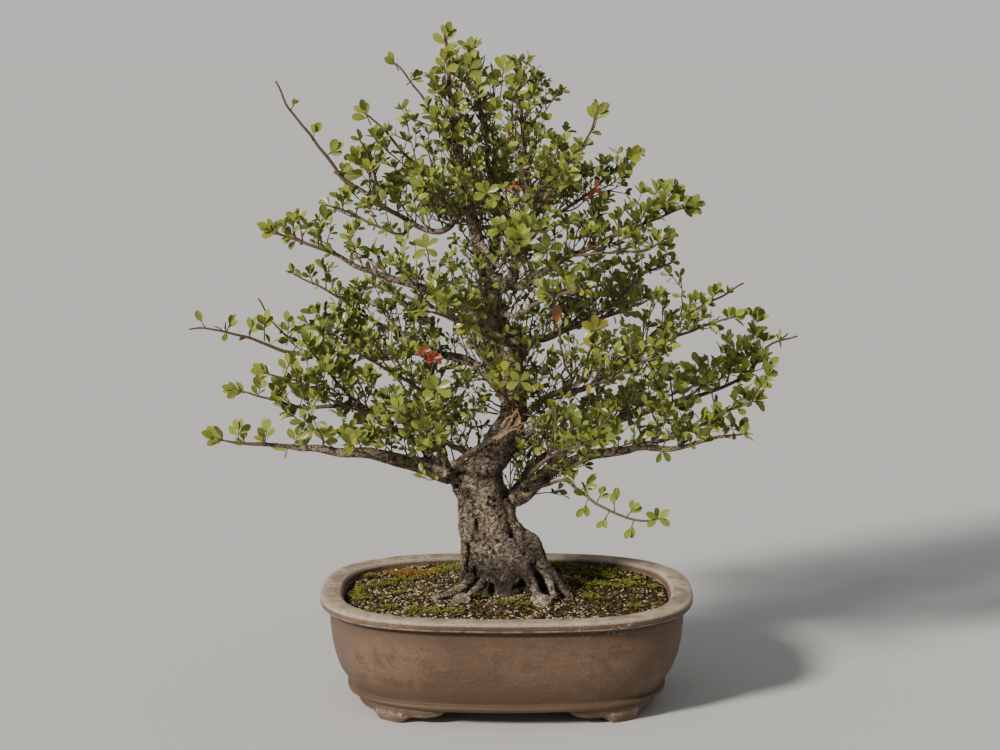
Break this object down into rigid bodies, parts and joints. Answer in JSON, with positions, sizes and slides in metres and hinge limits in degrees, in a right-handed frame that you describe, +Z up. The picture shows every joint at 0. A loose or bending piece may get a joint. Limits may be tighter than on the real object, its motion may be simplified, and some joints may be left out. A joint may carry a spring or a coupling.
{
  "type": "japanese barberry bonsai",
  "caption": "Small-leaved deciduous bonsai with a stout knobbly trunk, spreading limbs and open leafy shoots, in a bowed rectangular stoneware pot on scroll feet.",
  "frame": {"origin": "middle of the whole object's box in plan, at the level of the pot's foot pads", "axes": "+Z up, -Y towards the front that the picture shows, +X to the right seen from in front"},
  "size_m": [0.5689, 0.3581, 0.6135],
  "materials": {
    "pot": "matte",
    "soil": "matte",
    "stone": "matte",
    "bark": "matte",
    "leaf": "satin",
    "screen": "matte"
  },
  "bodies": {
    "root": {"drain_screen_left": "screen", "drain_screen_right": "screen", "pot": "pot", "soil": "soil", "spray_back_centre": "leaf", "spray_back_high": "leaf", "spray_back_high_left": "leaf", "spray_back_high_right": "leaf", "spray_back_low_left": "leaf", "spray_back_low_right": "leaf", "spray_back_mid_left": "leaf", "spray_back_mid_right": "leaf", "spray_bare_left": "leaf", "spray_far_right": "leaf", "spray_front_big": "leaf", "spray_front_centre": "leaf", "spray_front_high_left": "leaf", "spray_front_high_right": "leaf", "spray_front_low_left": "leaf", "spray_front_low_right": "leaf", "spray_front_mid_left": "leaf", "spray_front_mid_right": "leaf", "spray_hanging": "leaf", "spray_leader": "leaf", "spray_left_back_fill": "leaf", "spray_left_front_fill": "leaf", "spray_left_limb": "leaf", "spray_left_rise": "leaf", "spray_left_shoot": "leaf", "spray_left_twig": "leaf", "spray_long_left": "leaf", "spray_mid_left": "leaf", "spray_mid_left_low": "leaf", "spray_red_stem": "leaf", "spray_right_back": "leaf", "spray_right_back_fill": "leaf", "spray_right_fork": "leaf", "spray_right_front_fill": "leaf", "spray_right_high": "leaf", "spray_right_high_low": "leaf", "spray_right_limb": "leaf", "spray_right_mid": "leaf", "spray_right_mid_upper": "leaf", "spray_second_left": "leaf", "spray_stem_back": "leaf", "spray_stem_right": "leaf", "spray_upper_left": "leaf", "spray_upper_left_high": "leaf", "spray_upper_left_low": "leaf", "spray_upper_right": "leaf", "spray_upper_right_low": "leaf", "spray_upper_shoot_left": "leaf", "spray_upper_shoot_low": "leaf", "spray_yellow_shoot": "leaf", "stone_left": "stone", "stone_middle": "stone", "stone_right": "stone", "trunk_and_limbs": "bark"}
  },
  "joints": []
}
